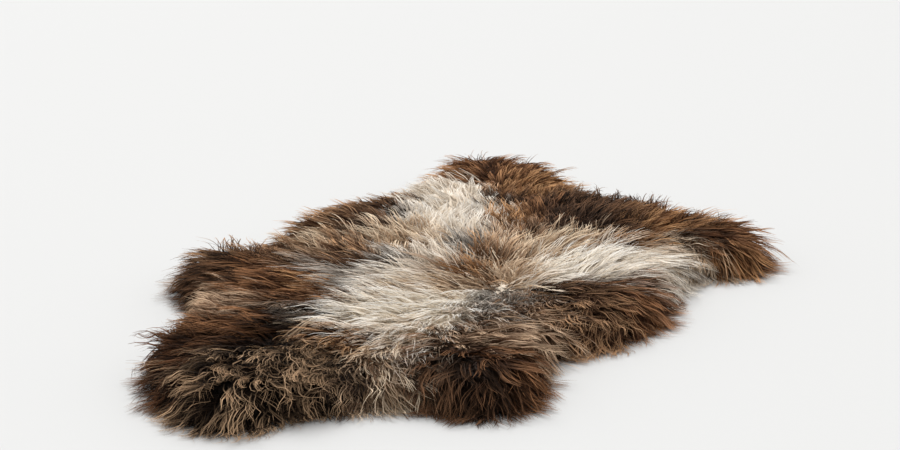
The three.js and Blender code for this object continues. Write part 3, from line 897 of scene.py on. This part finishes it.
def growStrands(name, guide, settings):
    carrier = addObject(name + "Carrier", guide)
    modifier = carrier.modifiers.new("wool", "NODES")
    modifier.node_group = growWool
    for socket in growWool.interface.items_tree:
        if socket.item_type == "SOCKET" and socket.in_out == "INPUT" and socket.name in settings:
            modifier[socket.identifier] = settings[socket.name]
    graph = bpy.context.evaluated_depsgraph_get()
    grownCarrier = carrier.evaluated_get(graph)
    mesh = bpy.data.meshes.new_from_object(grownCarrier, preserve_all_data_layers=True, depsgraph=graph)
    carrier.modifiers.remove(modifier)
    bpy.data.objects.remove(carrier)
    for attribute in spareAttributes:
        if attribute in mesh.attributes:
            mesh.attributes.remove(mesh.attributes[attribute])
    mesh.name = name
    print(name + ":", len(mesh.polygons) * 2, "triangles")
    return addObject(name, mesh)


# Wool colours, shared by every wool material

toneInputs = [("Body", "Color"), ("Tip", "Color"), ("Lock Chance", "Vector"), ("Strand Chance", "Vector")]
toneInputs += [(name, "Float") for name in ("Along", "Across", "Painted Root Shade", "Tip Start", "Variation")]
toneOutputs = [("Color", "Color"), ("Roughness", "Float"), ("Fibres", "Float")]
toneRules = {
    "pale": (0.12, 0.6),  # from dark wool to pale, by the red in its body
    "shadeOver": (0.0, 0.7),  # along the strand, the shade at its root lifts
    "stripes": (2.6, 2.0, 90.0),  # fibres across and along a strand, and how unlike the next strand's
    "fibreOver": (0.3, 0.7),
    "strandUneven": 0.5,  # beside 1 for its lock
    "fibreUneven": 0.9,
    "paleEven": 0.4,
    "lockReach": 0.4,  # how far the pale tip's start moves with the lock
    "strandReach": 0.3,  # and with the strand
    "bleachOver": (0.1, 0.7),  # only some dark locks have pale tips
    "bleach": 1.1,
    "tipEnd": 1.05,
    "roughness": (0.55, 0.2),
}


# The colour, roughness and fibres at each place of a strand
def toneFields(tree, given, rules):
    lockLight, lockTip, _ = parts(given["Lock Chance"])
    strandLight, strandTip, strandShine = parts(given["Strand Chance"])
    along = given["Along"]
    bodyRed, _, _ = parts(given["Body"])
    pale = easeBetween(tree, bodyRed, *rules["pale"])
    # Painted shade: the colour darkens towards the root, where the strands above would shade it, and less on
    # pale wool
    paintedRootShade = blendTo(given["Painted Root Shade"], 1.0, pale)
    shade = blendTo(paintedRootShade, 1.0, easeBetween(tree, along, *rules["shadeOver"]))
    stripeX, stripeY, stripeZ = rules["stripes"]
    inputs = {"X": given["Across"] * stripeX, "Y": along * stripeY, "Z": strandLight * stripeZ}
    spot = addNode(tree, "ShaderNodeCombineXYZ", inputs)
    stripes = addNode(tree, "ShaderNodeTexNoise", {"Vector": spot.outputs[0], "Scale": 1.0, "Detail": 1.0})
    fibres = easeBetween(tree, Field(tree, stripes.outputs["Fac"]), *rules["fibreOver"])
    uneven = (lockLight - 0.5) + (strandLight - 0.5) * rules["strandUneven"]
    uneven = (uneven + (fibres - 0.5) * rules["fibreUneven"]) * given["Variation"]
    light = uneven * (1.0 - pale * rules["paleEven"]) + 1.0
    reach = along + (lockTip - 0.5) * rules["lockReach"] + (strandTip - 0.5) * rules["strandReach"]
    bleached = blendTo(easeBetween(tree, lockTip, *rules["bleachOver"]) * rules["bleach"], 1.0, pale)
    towardsTip = easeBetween(tree, reach, given["Tip Start"], rules["tipEnd"]) * bleached
    colour = blendTo(given["Body"], given["Tip"], towardsTip) * (shade * light)
    return {"Color": colour, "Roughness": vary(strandShine, rules["roughness"]), "Fibres": fibres}


def makeToneGroup():
    tree, given = startTree("woolTone", "ShaderNodeTree", toneInputs, toneOutputs)
    addNode(tree, "NodeGroupOutput", toneFields(tree, given, toneRules))
    return tree


woolTone = makeToneGroup()


def attributeOutput(tree, name, output="Vector"):
    return addNode(tree, "ShaderNodeAttribute", attribute_name=name).outputs[output]


# Noise that stands still on the object
def objectNoise(tree, inputs):
    place = tree.nodes.new("ShaderNodeTexCoord")
    return addNode(tree, "ShaderNodeTexNoise", {"Vector": place.outputs["Object"], **inputs})


def addBump(tree, height, inputs):
    bump = addNode(tree, "ShaderNodeBump", {"Height": height, **inputs})
    tree.links.new(bump.outputs["Normal"], tree.nodes["Principled BSDF"].inputs["Normal"])


# Felt has a noise, and takes its chances from it. A strand takes them from what it was given as it grew.
def makeWoolMaterial(name, settings):
    material, tree, shader = addMaterial(name)
    inputs = {"Body": attributeOutput(tree, "bodyTone"), "Tip": attributeOutput(tree, "tipTone")}
    if "noise" in settings:
        noise = objectNoise(tree, settings["noise"])
        inputs |= {"Lock Chance": noise.outputs["Color"], "Strand Chance": noise.outputs["Color"]}
    else:
        inputs |= {"Along": attributeOutput(tree, "along", "Fac")}
        inputs |= {"Across": attributeOutput(tree, "across", "Fac")}
        inputs |= {"Lock Chance": attributeOutput(tree, "lockChance")}
        inputs |= {"Strand Chance": attributeOutput(tree, "chance")}
    group = addNode(tree, "ShaderNodeGroup", inputs | settings["tone"], node_tree=woolTone)
    relief = noise.outputs["Fac"] if "noise" in settings else group.outputs["Fibres"]
    addBump(tree, relief, {"Distance": settings["bump"]})
    tree.links.new(group.outputs["Color"], shader.inputs["Base Color"])
    tree.links.new(group.outputs["Roughness"], shader.inputs["Roughness"])
    shader.inputs["Specular IOR Level"].default_value = settings["specular"]
    return material


# The felt takes the colour from near a strand's root, darkened by the same painted shade
feltMaterial = makeWoolMaterial("woolFelt", {
    "noise": {"Scale": 220.0}, "bump": 0.002, "specular": 0.15,
    "tone": {"Along": 0.1, "Painted Root Shade": 0.30, "Tip Start": 0.6, "Variation": 0.4},
})
lockMaterial = makeWoolMaterial("woolLocks", {
    "bump": 0.00012, "specular": 0.04, "tone": {"Painted Root Shade": 0.22, "Tip Start": 0.34, "Variation": 0.55},
})
curlMaterial = makeWoolMaterial("woolCurls", {
    "bump": 0.00012, "specular": 0.06, "tone": {"Painted Root Shade": 0.14, "Tip Start": 0.52, "Variation": 0.9},
})
wispMaterial = makeWoolMaterial("woolWisps", {
    "bump": 0.00012, "specular": 0.04, "tone": {"Painted Root Shade": 0.4, "Tip Start": 0.20, "Variation": 0.6},
})
woolBase.data.materials.append(feltMaterial)
print("wool tree and materials ready")

# Layers of wool: three over the whole skin, the curls, the rim's locks, and loose wisps over it all

commonWool = {
    "Spread": 0.3, "Curly Only": 0.0, "Rim Only": 0.0, "Tone Ahead": 0.036, "Tone Scatter": 0.045,
    "Gathered By": 0.8, "Material": lockMaterial,
}
woolLayers = {
    "lowerLocks": {
        "Strands": 34000.0, "Lock Spacing": 0.011, "Steps": 4, "Width": 0.0026, "Length": 0.038,
        "Rise": 0.20, "Gather": 0.75, "Swing": 1.3, "Curl Size": 0.0028, "Turns": 1.2, "Wander": 0.0012,
        "Seed": 101,
    },
    "middleLocks": {
        "Strands": 24800.0, "Lock Spacing": 0.0115, "Steps": 7, "Width": 0.0018, "Length": 0.046,
        "Rise": 0.32, "Gather": 0.82, "Swing": 1.0, "Curl Size": 0.0038, "Turns": 1.2, "Wander": 0.0010,
        "Seed": 202,
    },
    "upperLocks": {
        "Strands": 22400.0, "Lock Spacing": 0.0125, "Steps": 8, "Width": 0.0015, "Length": 0.052,
        "Rise": 0.42, "Gather": 0.86, "Swing": 1.0, "Curl Size": 0.0042, "Turns": 1.3, "Wander": 0.0008,
        "Seed": 303,
    },
    "curledLocks": {
        "Strands": 98000.0, "Lock Spacing": 0.0095, "Steps": 18, "Width": 0.0013, "Length": 0.050,
        "Spread": 0.2, "Rise": 0.42, "Gather": 0.95, "Gathered By": 0.3, "Swing": 2.6,
        "Curl Size": 0.0040, "Turns": 1.7, "Wander": 0.0004, "Curly Only": 1.0, "Seed": 404,
        "Material": curlMaterial,
    },
    "rimLocks": {
        "Strands": 42000.0, "Lock Spacing": 0.018, "Steps": 8, "Width": 0.0018, "Length": 0.056,
        "Spread": 0.35, "Rise": 0.16, "Gather": 0.98, "Gathered By": 0.7, "Swing": 1.0,
        "Curl Size": 0.0044, "Turns": 1.4, "Wander": 0.0006, "Rim Only": 1.0, "Seed": 606,
    },
    "wisps": {
        "Strands": 6000.0, "Lock Spacing": 0.022, "Steps": 7, "Width": 0.0008, "Length": 0.036,
        "Spread": 0.4, "Rise": 0.42, "Gather": 0.45, "Swing": 1.8, "Curl Size": 0.0050, "Turns": 1.2,
        "Wander": 0.0020, "Tone Scatter": 0.015, "Seed": 505, "Material": wispMaterial,
    },
}
woolPieces = {}
for layer, choices in woolLayers.items():
    woolPieces[layer] = growStrands(layer, woolGuide, commonWool | choices)
bpy.data.meshes.remove(woolGuide)

# The tanned skin under the wool

hideSettings = {
    "step": 0.010,
    "inset": 0.001,
    "top": 0.0022,
    "bottom": 0.0002,
    "uneven": {"most": 0.0002, "size": 0.12, "seed": 41, "limit": 0.0005},  # how the underside lifts
    "flat": (0.71, 1.05),
    "area": 0.414,
    "colour": (0.60, 0.44, 0.28),
    "shade": (0.46, 0.32, 0.19),
    "mottle": {"Scale": 9.0, "Detail": 6.0},
    "mottleOver": (0.35, 0.68),
    "grain": {"Scale": 420.0},
    "grainBump": {"Distance": 0.0004, "Strength": 0.6},
    "finish": {"Roughness": 0.85, "Specular IOR Level": 0.2, "Sheen Weight": 0.15},
}


def makeHideMaterial(settings):
    material, tree, shader = addMaterial("tannedSkin")
    mottle = objectNoise(tree, settings["mottle"])
    ramp = addNode(tree, "ShaderNodeValToRGB", {"Fac": mottle.outputs["Fac"]})
    colours = (settings["shade"], settings["colour"])
    for stop, place, colour in zip(ramp.color_ramp.elements, settings["mottleOver"], colours):
        stop.position = place
        stop.color = (*colour, 1)
    tree.links.new(ramp.outputs["Color"], shader.inputs["Base Color"])
    addBump(tree, objectNoise(tree, settings["grain"]).outputs["Fac"], settings["grainBump"])
    for name, value in settings["finish"].items():
        shader.inputs[name].default_value = value
    return material


def makeHideSheet(settings):
    flat, faces, rim = clippedGrid(settings["step"], -settings["inset"])
    uneven = settings["uneven"]
    lift = uneven["most"] * (1 + ripple(flat[:, 0], flat[:, 1], uneven["size"], uneven["seed"]))
    upper = np.full(len(flat), settings["top"])
    lower = settings["bottom"] + np.clip(lift, 0, uneven["limit"])
    sheet = slabMesh("hideSheet", flat, faces, rim, upper, lower)
    sheet.data.materials.append(makeHideMaterial(settings))
    return sheet


hideSheet = makeHideSheet(hideSettings)
print("hide:", len(hideSheet.data.polygons), "faces")

# What each piece belongs to

for piece in (woolBase, *woolPieces.values()):
    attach(piece, "root")
    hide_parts("fleece")
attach(hideSheet, "root")
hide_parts("hide")

print("pieces ready")
